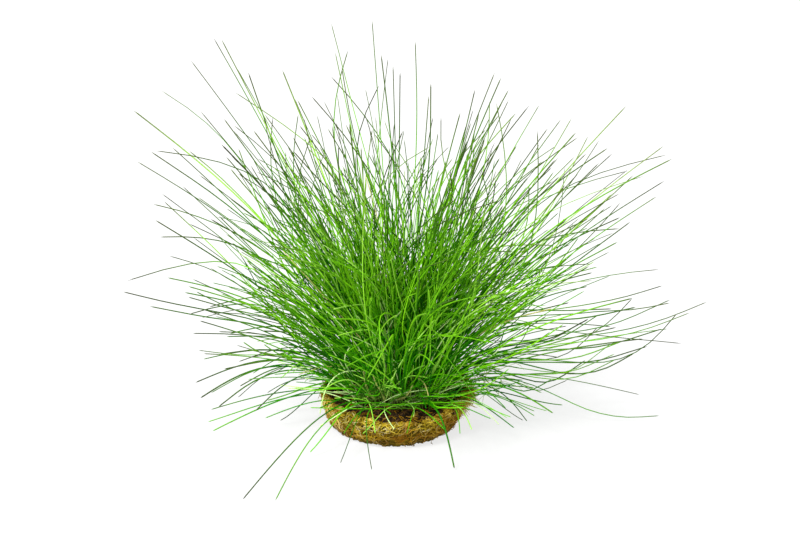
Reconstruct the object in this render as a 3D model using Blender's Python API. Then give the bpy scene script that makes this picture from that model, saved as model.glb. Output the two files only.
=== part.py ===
"""Dwarf hairgrass: little plants with fine round blades, rooted in peat in a shallow round fibre mat.

Metres, +Z up. The origin is the middle of the mat's flat underside, +X is to the right and +Y to the back.
Every plantlet is a crown that stands in a pocket of the peat, with the blades that grow out of it.
"""

import itertools
import math
from collections import namedtuple

import bmesh
import bpy
import numpy as np
from mathutils import Matrix, Vector

MM = 0.001
TOUCH_GAP = 0.3 * MM
GOLDEN_ANGLE = math.radians(137.5)

# Fibre mat: a turned shallow cup, as (radius, height) up the outside, over the rim and down the inside
MAT_SEGMENTS = 32
MAT_OUTSIDE = (
    (21.4 * MM, 0.0 * MM),
    (22.7 * MM, 2.2 * MM),
    (23.9 * MM, 5.6 * MM),
    (25.6 * MM, 10.1 * MM),
    (25.0 * MM, 11.5 * MM),
)
MAT_INSIDE = ((24.2 * MM, 11.3 * MM), (23.4 * MM, 9.0 * MM), (20.6 * MM, 5.0 * MM))
MAT_RIM_LEVEL = 3
MAT_LUMP = 0.5 * MM
RIM_LUMP = 0.35 * MM

# The rim sags at the front, and the inside below it by less
RIM_SAG = 2.2 * MM
RIM_SAG_SIDE = math.radians(270)
RIM_SAG_WIDTH = math.radians(34)
INSIDE_SAG_SHARES = (1, 0.45, 0)

# Peat: a low mound that fills the mat's recess, level in the middle, by share of its radius
PEAT_RADIUS = 22.9 * MM
PEAT_SHARES = (0.5, 0.9, 1)
PEAT_HEIGHTS = (11.1 * MM, 10.4 * MM, 9.0 * MM)
PEAT_LUMP = 0.25 * MM

# Crowns, on a sunflower pattern
CROWN_FIELD_RADIUS = 16.3 * MM
CROWN_FIELD_BACK = 2.0 * MM
OUTER_SITE_PULL = 1.5
CROWN_RADIUS = 1.5 * MM
CROWN_DEPTH = 2.4 * MM
CROWN_ABOVE_PEAT = 0.7 * MM
CROWN_TAPER = 0.7
CROWN_CELL_RIM = 0.16 * MM
POCKET_RISE = 2.0 * MM

# Blades
BLADE_TAPER_SHARES = (0, 0.3, 1)
BLADE_TAPER_RADII = (0.36 * MM, 0.42 * MM, 0.22 * MM)
LEAD_SEGMENTS = 6
FOLLOWER_SEGMENTS = 4
FOLLOWER_SHARES = (0.88, 0.76, 0.64)
FOLLOWER_FANS = (6.0 * MM, 8.0 * MM, 8.5 * MM)
LOWEST_TIP = 0.9 * MM

# Beside a blade that lies down to the surface, the followers stay short, high and straighter
LYING_TIP = 2
LYING_SHARES = (0.5, 0.38, 0.28)
LYING_RISES = (14.0 * MM, 20.0 * MM, 26.0 * MM)
LYING_ARCH_SHARE = 0.4

# Room that the blades keep to one another, to the crowns, to the mat's rim and to the surface below
CLEAR_OF_BLADES = 1.0 * MM
CLEAR_OF_CROWNS = 2.1 * MM
RIM_BAND = (22.5 * MM, 27.0 * MM)
RIM_HEIGHT = 11.6 * MM
CLEAR_OF_RIM = 0.9 * MM
CLEAR_OF_FLOOR = 0.75 * MM
RIM_TEST_POINTS = 60

# How the search for room changes a plantlet from one attempt to the next
ENOUGH = 1
ATTEMPTS = 300
TRY_BACK = 0.2 * MM
TRY_SWAY = 0.15 * MM
TRY_TURN = 0.14

# One row for each plantlet: where its longest blade ends, and how far the blade's middle is arched up,
# waved up and then down, and swayed sideways. All in millimetres.
Tip = namedtuple("Tip", "right back up arch wave sway", defaults=(5, 0, 0))
LEAD_TIPS = (
    # Left, from high to low
    Tip(-66, 10, 121, 4),
    Tip(-61, 35, 123, 3),
    Tip(-89, 20, 98, 5),
    Tip(-53, -30, 104, 6),
    Tip(-85, -10, 87, 5),
    Tip(-59, -45, 92, 6),
    Tip(-77, 40, 84, 5),
    Tip(-61, 60, 89, 5),
    Tip(-75, -25, 78, 3),
    Tip(-66, -20, 55, 6),
    Tip(-90, 0, 46, 8, 2),
    Tip(-79, 25, 41, 7),
    Tip(-63, -38, 46, 7),
    Tip(-65, -20, 22, 10),
    Tip(-66, 12, 17, 7),
    Tip(-66, 0, 8, 9),
    # Lying over the rim, down to the surface that the mat stands on
    Tip(-47, -64, 1, 11, 0, -6),
    Tip(-37, -63, 1, 9),
    Tip(-8, -41, 1, 9, 0, 3),
    Tip(18, -40, 1, 10),
    # Upright, from left to right
    Tip(-41, 75, 103, 4),
    Tip(-31, -10, 113, 4),
    Tip(-31, -35, 108, 5),
    Tip(-21, 45, 116, 3),
    Tip(-14, -30, 113, 3),
    Tip(-8, 15, 133, 2),
    Tip(6, 30, 123, 2, 2, 3),
    Tip(11, 50, 99, 3),
    Tip(19, -30, 114, 4),
    Tip(26, 0, 106, 3),
    Tip(34, 20, 113, 4),
    # Right, from high to low
    Tip(34, -35, 113, 5),
    Tip(50, 60, 94, 5),
    Tip(55, -20, 105, 5),
    Tip(74, 10, 106, 4),
    Tip(66, 50, 79, 6),
    Tip(90, 30, 87, 5),
    Tip(82, -25, 91, 5),
    Tip(86, 15, 74, 4),
    Tip(71, -45, 60, 5),
    Tip(100, 0, 46, 4, 3),
    Tip(93, -20, 46, 3, 3),
    Tip(91, 25, 39, 8, 3),
    Tip(80, 8, 21, 0, 5),
    Tip(88, 5, 2, 3, 4),
    Tip(51, -15, 9, 6),
    # Towards the front
    Tip(-17, -60, 84, 8),
    Tip(30, -60, 80, 8),
    Tip(16, -80, 72, 9),
    Tip(-24, -68, 55, 9),
    # Towards the back
    Tip(-52, 90, 42, 9),
    Tip(-37, 95, 60, 8),
    Tip(-6, 105, 45, 10),
    Tip(22, 98, 62, 8),
    Tip(53, 85, 51, 8),
    Tip(72, 70, 28, 8),
)


def on_circle(radius, angle, height):
    return (radius * math.cos(angle), radius * math.sin(angle), height)


def waviness(angle, shift):
    """A slow uneven wave round a circle, between about -1 and 1."""
    slow = math.sin(2 * angle + 0.7 + shift) + 0.8 * math.sin(3 * angle + 2.1)
    quick = 0.7 * math.sin(7 * angle + 1.9 * shift) + 0.5 * math.sin(11 * angle + 0.4 + shift)
    return (slow + quick) / 3


def peat_height(x, y):
    """The height of the peat's top at a point, without its lumps."""
    return float(np.interp(math.hypot(x, y) / PEAT_RADIUS, PEAT_SHARES, PEAT_HEIGHTS))


def principled(name, colour, roughness):
    material = bpy.data.materials.new(name)
    material.use_nodes = True
    shader = material.node_tree.nodes["Principled BSDF"]
    shader.inputs["Base Color"].default_value = (*colour, 1)
    shader.inputs["Roughness"].default_value = roughness
    shader.inputs["Metallic"].default_value = 0
    return material


def add_object(name, bm, material):
    """A named object from a bmesh, shaded smooth but for its sharp edges."""
    mesh = bpy.data.meshes.new(name)
    bmesh.ops.recalc_face_normals(bm, faces=bm.faces)
    bm.to_mesh(mesh)
    bm.free()
    mesh.shade_smooth()
    mesh.set_sharp_from_angle(angle=math.radians(50))
    mesh.materials.append(material)
    obj = bpy.data.objects.new(name, mesh)
    bpy.context.scene.collection.objects.link(obj)
    return obj


def turned(rings):
    """A closed body from rings of points, with its first and last rings filled."""
    bm = bmesh.new()
    loops = [[bm.verts.new(point) for point in ring] for ring in rings]
    bm.faces.new(loops[0])
    bm.faces.new(loops[-1])
    for lower, upper in itertools.pairwise(loops):
        for k in range(len(lower)):
            bm.faces.new((lower[k - 1], lower[k], upper[k], upper[k - 1]))
    return bm


def mat_angles():
    return [math.tau * k / MAT_SEGMENTS for k in range(MAT_SEGMENTS)]


def rim_sag(angle):
    return RIM_SAG * math.exp(-(((angle - RIM_SAG_SIDE) / RIM_SAG_WIDTH) ** 2))


def fibre_mat(material):
    rings = []
    for level, (radius, height) in enumerate(MAT_OUTSIDE):
        ring = []
        for angle in mat_angles():
            lump = MAT_LUMP * waviness(angle, 1.3 * level)
            rise = RIM_LUMP * waviness(angle, 4.0) - rim_sag(angle) if level >= MAT_RIM_LEVEL else 0
            ring.append(on_circle(radius + lump, angle, height + rise))
        rings.append(ring)
    for (radius, height), share in zip(MAT_INSIDE, INSIDE_SAG_SHARES):
        rings.append([on_circle(radius, angle, height - share * rim_sag(angle)) for angle in mat_angles()])
    return add_object("fibre_mat", turned(rings), material)


def peat_fill(material):
    """The fill keeps the touching gap to the recess's floor and wall."""
    (wall_radius, wall_height), (floor_radius, floor_height) = MAT_INSIDE[1:]
    slope = (wall_radius - floor_radius) / (wall_height - floor_height)
    base_height = floor_height + TOUCH_GAP
    base_radius = PEAT_RADIUS - slope * (PEAT_HEIGHTS[-1] - base_height)
    edge = [on_circle(PEAT_RADIUS, angle, PEAT_HEIGHTS[-1]) for angle in mat_angles()]
    shoulder = []
    for angle in mat_angles():
        height = PEAT_HEIGHTS[1] + PEAT_LUMP * waviness(angle, 2.0)
        shoulder.append(on_circle(PEAT_RADIUS * PEAT_SHARES[1], angle, height))
    rings = [
        [on_circle(base_radius, angle, base_height) for angle in mat_angles()],
        edge,
        shoulder,
        [on_circle(PEAT_RADIUS * PEAT_SHARES[0], angle, PEAT_HEIGHTS[0]) for angle in mat_angles()],
    ]
    return add_object("peat_fill", turned(rings), material)


def crown_sites():
    """Where the crowns stand: a sunflower pattern, set back from the mat's front."""
    sites = []
    for k in range(len(LEAD_TIPS)):
        radius = CROWN_FIELD_RADIUS * math.sqrt((k + 0.5) / len(LEAD_TIPS))
        x, y, _ = on_circle(radius, k * GOLDEN_ANGLE, 0)
        sites.append((x, y + CROWN_FIELD_BACK))
    return sites


def sites_for_tips():
    """Gives every tip a crown on its own side. The lowest blades choose first, so they stand outside."""
    free = crown_sites()
    order = sorted(LEAD_TIPS, key=lambda tip: tip.up / math.hypot(tip.right, tip.back))
    chosen = {}
    for tip in order:
        reach = math.hypot(tip.right, tip.back)
        outward = CROWN_FIELD_RADIUS * min(1, OUTER_SITE_PULL * reach / (reach + tip.up))
        wanted = (outward * tip.right / reach, outward * tip.back / reach + CROWN_FIELD_BACK)
        site = min(free, key=lambda place: math.dist(place, wanted))
        free.remove(site)
        chosen[tip] = site
    return chosen


def blade_path(root, tip, arch, wave, sway, segments):
    """Points from root to tip: a straight line, arched upwards, waved and swayed sideways."""
    chord = tip - root
    side = np.cross(chord, (0, 0, 1))
    side /= np.linalg.norm(side)
    upward = np.cross(side, chord)
    upward /= np.linalg.norm(upward)
    s = np.linspace(0, 1, segments + 1)[:, None]
    bend = arch * np.sin(math.pi * s) + wave * np.sin(math.tau * s)
    return root + s * chord + bend * upward + sway * np.sin(math.pi * s) * side


def crown_turn(site):
    """Every crown is turned a little differently."""
    return site[1] / MM


def crown_cells(site):
    """The middles of a crown's four top cells, where its blades start."""
    height = peat_height(*site) + CROWN_ABOVE_PEAT
    out = CROWN_RADIUS * math.cos(math.pi / 4) * 2 / 3
    cells = []
    for k in range(4):
        x, y, _ = on_circle(out, crown_turn(site) + math.radians(45 + 90 * k), 0)
        cells.append(np.array((site[0] + x, site[1] + y, height)))
    return cells


def to_and_fro(attempt):
    """0, -1, 1, -2, 2 and so on."""
    return (attempt + 1) // 2 * (-1) ** attempt


def fan_tips(site, tip, attempt):
    """The tips of the lead and of three shorter followers round it. Each attempt spreads them anew."""
    lying = tip.up <= LYING_TIP
    root = np.array((*site, peat_height(*site) + CROWN_ABOVE_PEAT))
    lead = MM * np.array((tip.right, tip.back, tip.up), float)
    lead[1] += TRY_BACK * to_and_fro(attempt)
    chord = lead - root
    side = np.cross(chord, (0, 0, 1))
    side /= np.linalg.norm(side)
    upward = np.cross(side, chord) / np.linalg.norm(chord)
    tips = [lead]
    for k, (share, fan) in enumerate(zip(LYING_SHARES if lying else FOLLOWER_SHARES, FOLLOWER_FANS)):
        angle = GOLDEN_ANGLE * (TRY_TURN * attempt + k) + site[0] / MM
        end = root + share * chord + fan * (math.cos(angle) * side + math.sin(angle) * upward)
        end[2] = max(end[2], LOWEST_TIP) + (LYING_RISES[k] if lying else 0)
        tips.append(end)
    return tips


def fan_paths(site, tip, attempt):
    """The paths of a plantlet's four blades, each from the crown's cell on its own side."""
    tips = fan_tips(site, tip, attempt)
    starts = min(
        itertools.permutations(crown_cells(site)),
        key=lambda order: sum(np.linalg.norm((end - start)[:2]) for start, end in zip(order, tips)),
    )
    sway = MM * tip.sway + TRY_SWAY * to_and_fro(attempt // 2)
    paths = []
    for start, end in zip(starts, tips):
        segments = FOLLOWER_SEGMENTS if paths else LEAD_SEGMENTS
        arch = MM * tip.arch * (LYING_ARCH_SHARE if paths and tip.up <= LYING_TIP else 1)
        paths.append(blade_path(start, end, arch, MM * tip.wave, sway, segments))
    return paths


def segments_of(paths):
    """The start and the end of every straight stretch of some paths."""
    return np.concatenate([p[:-1] for p in paths]), np.concatenate([p[1:] for p in paths])


def nearest_approach(first, second):
    """The shortest distance between any stretch of the first set and any of the second."""
    (p, q), (r, s) = first, second
    u = (q - p)[:, None]
    v = (s - r)[None]
    w = p[:, None] - r[None]
    a, b, c = (u * u).sum(-1), (u * v).sum(-1), (v * v).sum(-1)
    d, e = (u * w).sum(-1), (v * w).sum(-1)
    along_u = np.clip((b * e - c * d) / np.maximum(a * c - b * b, 1e-18), 0, 1)
    along_v = np.clip((b * along_u + e) / c, 0, 1)
    along_u = np.clip((b * along_v - d) / a, 0, 1)
    return np.linalg.norm(w + along_u[..., None] * u - along_v[..., None] * v, axis=-1).min()


def room_over_mat(paths):
    """How well the blades pass over the rim and stay off the surface below. 1 or more is enough."""
    room = ENOUGH
    for path in paths:
        stops = np.linspace(0, len(path) - 1, RIM_TEST_POINTS)
        points = np.stack([np.interp(stops, range(len(path)), column) for column in path.T], axis=1)
        radius = np.hypot(points[:, 0], points[:, 1])
        over_rim = (radius > RIM_BAND[0]) & (radius < RIM_BAND[1])
        above_rim = points[over_rim, 2].min(initial=1) - RIM_HEIGHT
        room = min(room, above_rim / CLEAR_OF_RIM, points[:, 2].min() / CLEAR_OF_FLOOR)
    return room


def plantlet_paths():
    """Every plantlet's site and blade paths, spread so that no blade touches another plantlet."""
    chosen = sites_for_tips()
    placed = {}
    for tip in sorted(LEAD_TIPS, key=lambda tip: math.hypot(tip.right, tip.back)):
        site = chosen[tip]
        others = [
            np.array(((x, y, 0), (x, y, peat_height(x, y) + CROWN_ABOVE_PEAT)))
            for x, y in chosen.values()
            if (x, y) != site
        ]
        best_room, best_paths = -math.inf, None
        for attempt in range(ATTEMPTS):
            paths = fan_paths(site, tip, attempt)
            stretches = segments_of(paths)
            room = min(
                room_over_mat(paths),
                nearest_approach(stretches, segments_of(others)) / CLEAR_OF_CROWNS,
                *(nearest_approach(stretches, grown) / CLEAR_OF_BLADES for _, _, grown in placed.values()),
            )
            if room > best_room:
                best_room, best_paths = room, paths
            if room >= ENOUGH:
                break
        placed[tip] = (site, best_paths, segments_of(best_paths))
    return [placed[tip][:2] for tip in LEAD_TIPS]


def crown_block(bm, site, gap=0, rise=0):
    """A crown's tapered block, or with a gap and a rise the room that it takes in the peat."""
    top = peat_height(*site) + CROWN_ABOVE_PEAT
    wider = gap * math.sqrt(2)
    bmesh.ops.create_cone(
        bm,
        cap_ends=True,
        segments=4,
        radius1=CROWN_TAPER * CROWN_RADIUS + wider,
        radius2=CROWN_RADIUS + wider,
        depth=CROWN_DEPTH + gap + rise,
        matrix=Matrix.Translation((*site, top + (rise - gap - CROWN_DEPTH) / 2))
        @ Matrix.Rotation(crown_turn(site), 4, "Z"),
    )


def set_triangle(face, old_middle, middle, normal, radius):
    """Makes a face an equal-sided triangle about its new middle, turned as little as possible."""
    across = face.verts[0].co - old_middle
    across = (across - across.dot(normal) * normal).normalized()
    third = normal.cross(across)
    for k, vert in enumerate(face.verts):
        angle = math.tau * k / 3
        vert.co = middle + radius * (math.cos(angle) * across + math.sin(angle) * third)


def grow_blade(bm, cell, path):
    """Extrudes a crown's cell ring by ring along the path, tapering to the tip."""
    shares = np.linspace(0, 1, len(path))
    radii = np.interp(shares, BLADE_TAPER_SHARES, BLADE_TAPER_RADII).tolist()
    points = [Vector(point) for point in path]
    set_triangle(cell, cell.calc_center_median(), points[0], Vector((0, 0, 1)), radii[0])
    for step in range(1, len(points)):
        ahead = points[min(step + 1, len(points) - 1)]
        tangent = (ahead - points[step - 1]).normalized()
        cell = bmesh.ops.extrude_discrete_faces(bm, faces=[cell])["faces"][0]
        set_triangle(cell, points[step - 1], points[step], tangent, radii[step])


def plantlet(name, site, paths, material):
    """A crown whose lid is parted in four cells, each drawn out into a blade."""
    bm = bmesh.new()
    crown_block(bm, site)
    bm.normal_update()
    lid = max(bm.faces, key=lambda face: face.calc_center_median().z)
    cells = bmesh.ops.poke(bm, faces=[lid])["faces"]
    bmesh.ops.inset_individual(bm, faces=cells, thickness=CROWN_CELL_RIM)
    for path in paths:
        start = Vector(path[0])
        nearest = min(cells, key=lambda face: (face.calc_center_median() - start).length)
        cells.remove(nearest)
        grow_blade(bm, nearest, path)
    return add_object(name, bm, material)


def cut_crown_pockets(peat, sites):
    """Cuts the room for every crown out of the peat."""
    bm = bmesh.new()
    for site in sites:
        crown_block(bm, site, gap=TOUCH_GAP, rise=POCKET_RISE)
    cutter = add_object("crown_pockets", bm, peat.data.materials[0])
    cutter.hide_render = True
    cutter.display_type = "WIRE"
    cut = peat.modifiers.new("pockets", "BOOLEAN")
    cut.object = cutter
    cut.operation = "DIFFERENCE"
    cut.solver = "EXACT"


def main():
    for obj in list(bpy.data.objects):
        bpy.data.objects.remove(obj, do_unlink=True)
    fibre = principled("matted_fibre", (0.30, 0.20, 0.06), 0.9)
    peat = principled("dark_peat", (0.03, 0.02, 0.012), 0.95)
    blade = principled("green_blade", (0.09, 0.27, 0.02), 0.45)
    fibre_mat(fibre)
    fill = peat_fill(peat)
    plantlets = plantlet_paths()
    cut_crown_pockets(fill, [site for site, _ in plantlets])
    for number, (site, paths) in enumerate(plantlets, start=1):
        plantlet(f"plantlet_{number:02d}", site, paths, blade)


main()
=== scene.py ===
"""The looks of a tuft of dwarf hairgrass: fine round blades rising from peat in a low round mat of matted
fibre. Lengths are in millimetres until a mesh is made, with +X to the right, +Y to the back and +Z up, as in
the frame."""

from collections import namedtuple
from math import atan2, ceil, cos, degrees, exp, hypot, inf, pi, radians, sin, sqrt, tan, tau

import bpy
import numpy as np
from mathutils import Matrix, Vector, noise
from mathutils.bvhtree import BVHTree
from numpy.linalg import norm


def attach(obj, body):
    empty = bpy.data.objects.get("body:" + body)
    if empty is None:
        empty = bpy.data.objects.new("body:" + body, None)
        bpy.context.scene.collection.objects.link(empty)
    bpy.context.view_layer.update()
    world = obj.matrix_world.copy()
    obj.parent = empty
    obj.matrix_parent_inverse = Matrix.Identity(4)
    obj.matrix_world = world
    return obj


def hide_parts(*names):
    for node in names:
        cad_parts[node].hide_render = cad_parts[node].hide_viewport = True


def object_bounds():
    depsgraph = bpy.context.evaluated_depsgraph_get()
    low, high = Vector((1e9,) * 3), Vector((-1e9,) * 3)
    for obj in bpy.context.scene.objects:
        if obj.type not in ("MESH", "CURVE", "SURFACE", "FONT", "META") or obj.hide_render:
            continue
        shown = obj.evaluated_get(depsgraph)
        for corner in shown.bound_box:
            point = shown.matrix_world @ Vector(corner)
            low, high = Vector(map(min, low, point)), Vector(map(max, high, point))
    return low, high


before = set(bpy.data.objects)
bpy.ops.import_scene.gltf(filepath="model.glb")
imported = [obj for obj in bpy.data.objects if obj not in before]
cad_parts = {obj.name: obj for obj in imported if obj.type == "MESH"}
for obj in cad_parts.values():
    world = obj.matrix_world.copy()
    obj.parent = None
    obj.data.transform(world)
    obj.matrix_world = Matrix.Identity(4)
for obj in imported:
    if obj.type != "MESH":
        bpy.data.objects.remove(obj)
cad_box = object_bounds()

MM = 0.001
SEED = 11

Strand = namedtuple("Strand", "path radii tone dry age")
Fibres = namedtuple("Fibres", "count lengths lifts tone spread")

# The camera, as far from the mat as the photograph's was
CAMERA_PLACE = (0, -548.1, 244)
CAMERA_AIM = (0.0016, 0.9452, -0.3266)
CAMERA_LENS = 79.92
SIGHT = 50

# A plantlet's blades
GUIDES = 4
SHORTEST_STRETCH = 4
BLADE_POINTS = 17
BLADE_SIDES = 6
BLADE_RADII = (0.12, 0.21)
BLADE_TAPER_SHARES = (0, 0.3, 0.75, 1)
BLADE_TAPER = (0.88, 1, 1, 0.88)
POINT_SHARE = 0.985
BLADE_SHARES = np.linspace(0, 1, BLADE_POINTS)[:, None]
BLADE_HUMP = np.sin(pi * BLADE_SHARES)
TIP_HEIGHTS = (0, 4, 20, 45, 75, 95, 110, 133)
SIDE_BLADES = (0, 2, 3, 5, 7, 10, 14, 17)
SIDE_BLADE_SHARES = (0.45, 0.8, 1.03)
COMPANION_CHANCE = 0.25
COMPANION_SHARES = (0.6, 0.9, 1.02)
COMPANION_FAN = 0.1
FAN = 0.14
LOW_FAN = 0.24
WIDEST_FAN = 1.7
FAN_CURVE = 1.2
GUIDE_MIX = 0.5
ROOT_SPREAD = 1.6
FOLLOWER_TONES = (0, 0.45)
LEAD_GIRTH = 1.25
FOLLOWER_GIRTH = 1.1

# How a blade bows, waves, curls, droops and kinks
BOW = 0.1
GUIDE_BOW = 0.03
WAVE = 0.035
CURL = 0.14
CURL_START = 0.52
DROOP = 5
DROOP_REACH = 100
SWEEP_LEFT = 0.09
SWEEP_RIGHT = 0.015
KINK_CHANCE = 0.015
KINK_PLACES = (0.6, 0.85)
KINK_DEGREES = (8, 22)

# Blades that stray from the bundle, low ones over the mat, and dead leaf bases
STRAY_BLADES = 6
STRAY_TIP = 60
STRAY_LENGTHS = (30, 88, 88)
STRAY_SPREAD = 0.75
STRAY_RISE = 0.12
STRAY_REACH = 110
STRAY_SHORTEST = 0.4
LOW_BLADES = 2
LOW_LENGTHS = (14, 38)
LOW_DEGREES = (12, 60)
LOW_SPREAD = 1.1
LOW_ARCH = 5
LOW_SIDE = 45
LOW_TONES = (0.15, 1.15)
STUBS = 1
STUB_LENGTHS = (5, 13)
STUB_LEANS = (0.3, 1.1)
STUB_RADII = (0.2, 0.34)
STUB_DRYNESS = (0.5, 1)
STUB_AGE = 0.35
STUB_GAP = 0.3

# The greens and the ages of blades, and how far down from the tip age reaches
TONES = ((0.08, 0.1), (0.5, 0.16), (0.86, 0.1))
TONE_CHANCES = (0.45, 0.35, 0.2)
DRY_CHANCE = 0.007
AGES = (0.1, 0.5, 0.95)
AGE_CHANCES = (0.3, 0.42, 0.28)
AGE_STARTS = (0.6, 0.95)
AGE_CURVE = 0.7
SHELTERED_AGE = 0.25
GROWN_LENGTH = 95

# Blades that end low and far out: a little thicker, and with their own tones, chances of each age and starts
LOW_TIP = 50
OUTLYING_SIDE = 40
LYING_TIP = 3
LYING_REACH = 36
OUTLYING_GIRTH = 1.1
OUTLYING_LOOKS = ((0.05, 0.65), (0.1, 0.45, 0.45), (0.25, 0.65))

# Blades that end over the front are young, and none of them is pale
FRONT_TIP = -45
FRONT_TIP_TONES = (0, 0.7)

# How full the bundles are, by the side that their longest blade takes as the camera sees it, in degrees
PICTURE_UP = (0, 0.3266, 0.9452)
BUNDLE_SIDES = (
    -10, 5, 10, 15, 25, 35, 40, 45, 50, 57, 65, 75,
    85, 95, 105, 115, 125, 135, 145, 155, 165, 175, 190,
)
BUNDLE_SHARES = (
    0, 0, 0.1, 1.5, 0.1, 0, 0.3, 2.4, 0.2, 0.1, 2.4, 1.5,
    0.3, 1.9, 1.1, 1.1, 0.95, 0.4, 1.5, 0.5, 0.5, 0.3, 0.5,
)
THIN_BUNDLE_LENGTH = 0.6

# Tips of single long blades that stand apart from the bundles: right, back and up
LONE_TIPS = (
    (-55, 0, 130), (-69, 40, 25), (-61, -35, 49), (-66, 15, 18), (-62, -15, 6),
    (-60, -20, 5), (-5, 0, 125), (1, 20, 115), (11, -20, 110), (35, -5, 115),
    (54, 20, 99), (60, 45, 93), (67, -15, 97), (60, -40, 101), (88, 0, 91),
    (59, -45, 79), (74, 35, 39), (57, -50, 72), (92, 15, 27), (77, -30, 41),
    (59, -5, 19), (38, -20, 6), (42, -5, 2), (6, -70, 88), (-4, -75, 61),
    (9, 100, 59), (-28, -30, 2), (-18, -38, 2), (-39, -5, 2), (-62, -5, 6), (-44, 5, 5), (83, 12, 4),
    (22, -5, 104), (25, 8, 112), (29, -12, 108), (31, 5, 118), (24, 12, 100), (33, -8, 112),
    (27, 0, 96), (36, 10, 108), (52, 5, 90), (56, -8, 94), (49, 12, 98), (58, 0, 86),
    (62, 10, 96), (46, -5, 92), (70, 5, 78), (66, -10, 80), (62, 0, 71), (60, 10, 68), (56, -5, 64),
)
LONE_ARCH = (0.02, 0.065)

# Blades that cross the front of the peat and the rim: root to the right and to the back, then the tip
CROSSINGS = (
    (-8, -12, 31, -20, 18), (-13, -8, 33, -16, 26), (-2, -14, 34, -22, 22), (4, -13, 45, -10, 16),
    (9, -12, -28, -24, 15), (6, -14, -34, -18, 18), (0, -10, -48, -22, 24), (-5, -14, 15, -29, 9),
    (8, -13, 3, -31, 8), (13, -11, 24, -26, 8), (-13, -10, -7, -31, 8), (-11, -12, -25, -25, 9),
    (2, -15, -11, -31, 9), (15, -9, 33, -22, 8), (-4, -12, -1, -34, 12), (5, -10, 35, -30, 14),
    (11, -13, 30, -26, 12), (-16, -6, -42, -30, 14), (-9, -13, -17, -33, 10), (16, -11, 20, -31, 9),
    (-6, -13, 30, -17, 26), (1, -12, 38, -6, 30), (7, -13, -20, -12, 34), (-12, -11, 22, -22, 16),
    (12, -8, 45, -15, 8), (13, -5, 50, -4, 5), (14, -9, 37, -18, 9), (14, -3, 55, -6, 8), (15, -6, 46, -2, 4),
    (-4, -15, -20, -28, 20),
)
CROSSING_ARCH = (0.05, 0.14)
CROSSING_GIRTH = 0.9

# A clump of blades rooted in the front, bright with painted light, and others that lean across the front to
# either side
CLUMP = (-3, -11)
CLUMP_SPREAD = 1.3
CLUMP_BLADES = 16
CLUMP_TIPS = ((-38, 38), (-40, 15), (35, 95))
LEANING_FEET = ((-13, 13), (-14, -4))

# Those others, steep and level: how many, degrees off upright, lengths, and how far forward they end
LEANING = ((95, (12, 55), (32, 80), (-18, 2)), (44, (60, 84), (14, 32), (-9, 4)))
FRONT_FOOT = 10
ROOT_DEPTH = 0.5

# Blades that cross the front, or follow the longest one of a plantlet there, are given bright tones as
# painted light, the low ones most
FRONT_PAINTED_LIGHT_TONES = (0.08, 1.2)
FRONT_LEAD = -35
LOW_FRONT = 30
LOW_FRONT_PAINTED_LIGHT_TONES = (0.32, 1.2)

# Blades that fill the middle and the back, darker as painted shade for the shaded core of the tuft; they lean
# to the side and backward by so many degrees
INNER_BLADES = 260
INNER_FEET = ((-16, 16), (-9, 15))
INNER_LEANS = ((-52, 52), (-22, 26))
INNER_LENGTHS = (34, 66)
INNER_MARGIN = 4
INNER_PAINTED_SHADE_TONES = (-0.5, 0.12)

# What a blade has to clear: the peat, the mat's rim and the surface it stands on
LAND_RADII = (0, 21.5, 23.2, 26.3, 27.3, 200)
LAND_HEIGHTS = (9.4, 9.4, 12, 12, 0.5, 0.5)
ROOTED_POINTS = 2
ARCHED_POINTS = 11
ARCH_OVER_RIM = 0.3

# Where a strand's skin and its flat foot lie in its own field of the texture square
SKIN_CORNER = (0.08, 0.05)
SKIN_SIZE = (0.84, 0.92)
CAP_MIDDLE = (0.5, 0.022)
CAP_RADII = (0.3, 0.015)
GRAIN_SHIFT = 100
FIRST_SIDE = (0.31, 0.17, 0.94)

# The mat
MAT_VOXEL = 0.55
MAT_SMOOTHING = 6
MAT_ROUGHNESS = 0.8
MAT_LUMPS = ((1, 0.35), (0.6, 0.9), (0.4, 2.1))
MAT_COLUMNS = 56
RIM_RADIUS = 25
RIM_HEIGHT = 12.5
WALL_RADIUS = 25.6
INNER_RIM = (23, 26)
DENT_SIDE = -22
DENT_WIDTH = 34
DENT_DEPTH = 2.8
DENT_TOP = 13.5
DENT_FADE = 4
DAMP_HEIGHT = 3.2
DAMPEST = 0.6
FIBRE_POINTS = 9
FIBRE_SHARES = np.linspace(0, 1, FIBRE_POINTS)[:, None]
FIBRE_SIDES = 4
FIBRE_RADII = (0.06, 0.13)
FIBRE_TAPER_SHARES = (0, 0.2, 0.8, 1)
FIBRE_TAPER = (0.5, 1, 1, 0.4)
LOWEST_FIBRE = 0.2
FLATTEST = 0.05
WANDER = 0.14
JITTER = 0.06

# The mat's fibres by where they lie: how many, their lengths, how far they stand off, and the middle and the
# spread of their tones
WALL_FIBRES = Fibres(1900, (2, 6.5), (0, 0.7), 0.52, 0.27)
WALL_HEIGHTS = (0.5, 11)
WALL_SLANT = 1
WALL_LIGHTENING = 0.018
RIM_FIBRES = Fibres(460, (2, 6.5), (0, 0.6), 0.55, 0.18)
RIM_SPREAD = 0.5
RIM_SLANT = 0.3
INNER_FIBRES = Fibres(520, (2.5, 7), (0, 0.5), 0.42, 0.22)
INNER_RADII = (20, 24.8)
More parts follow.
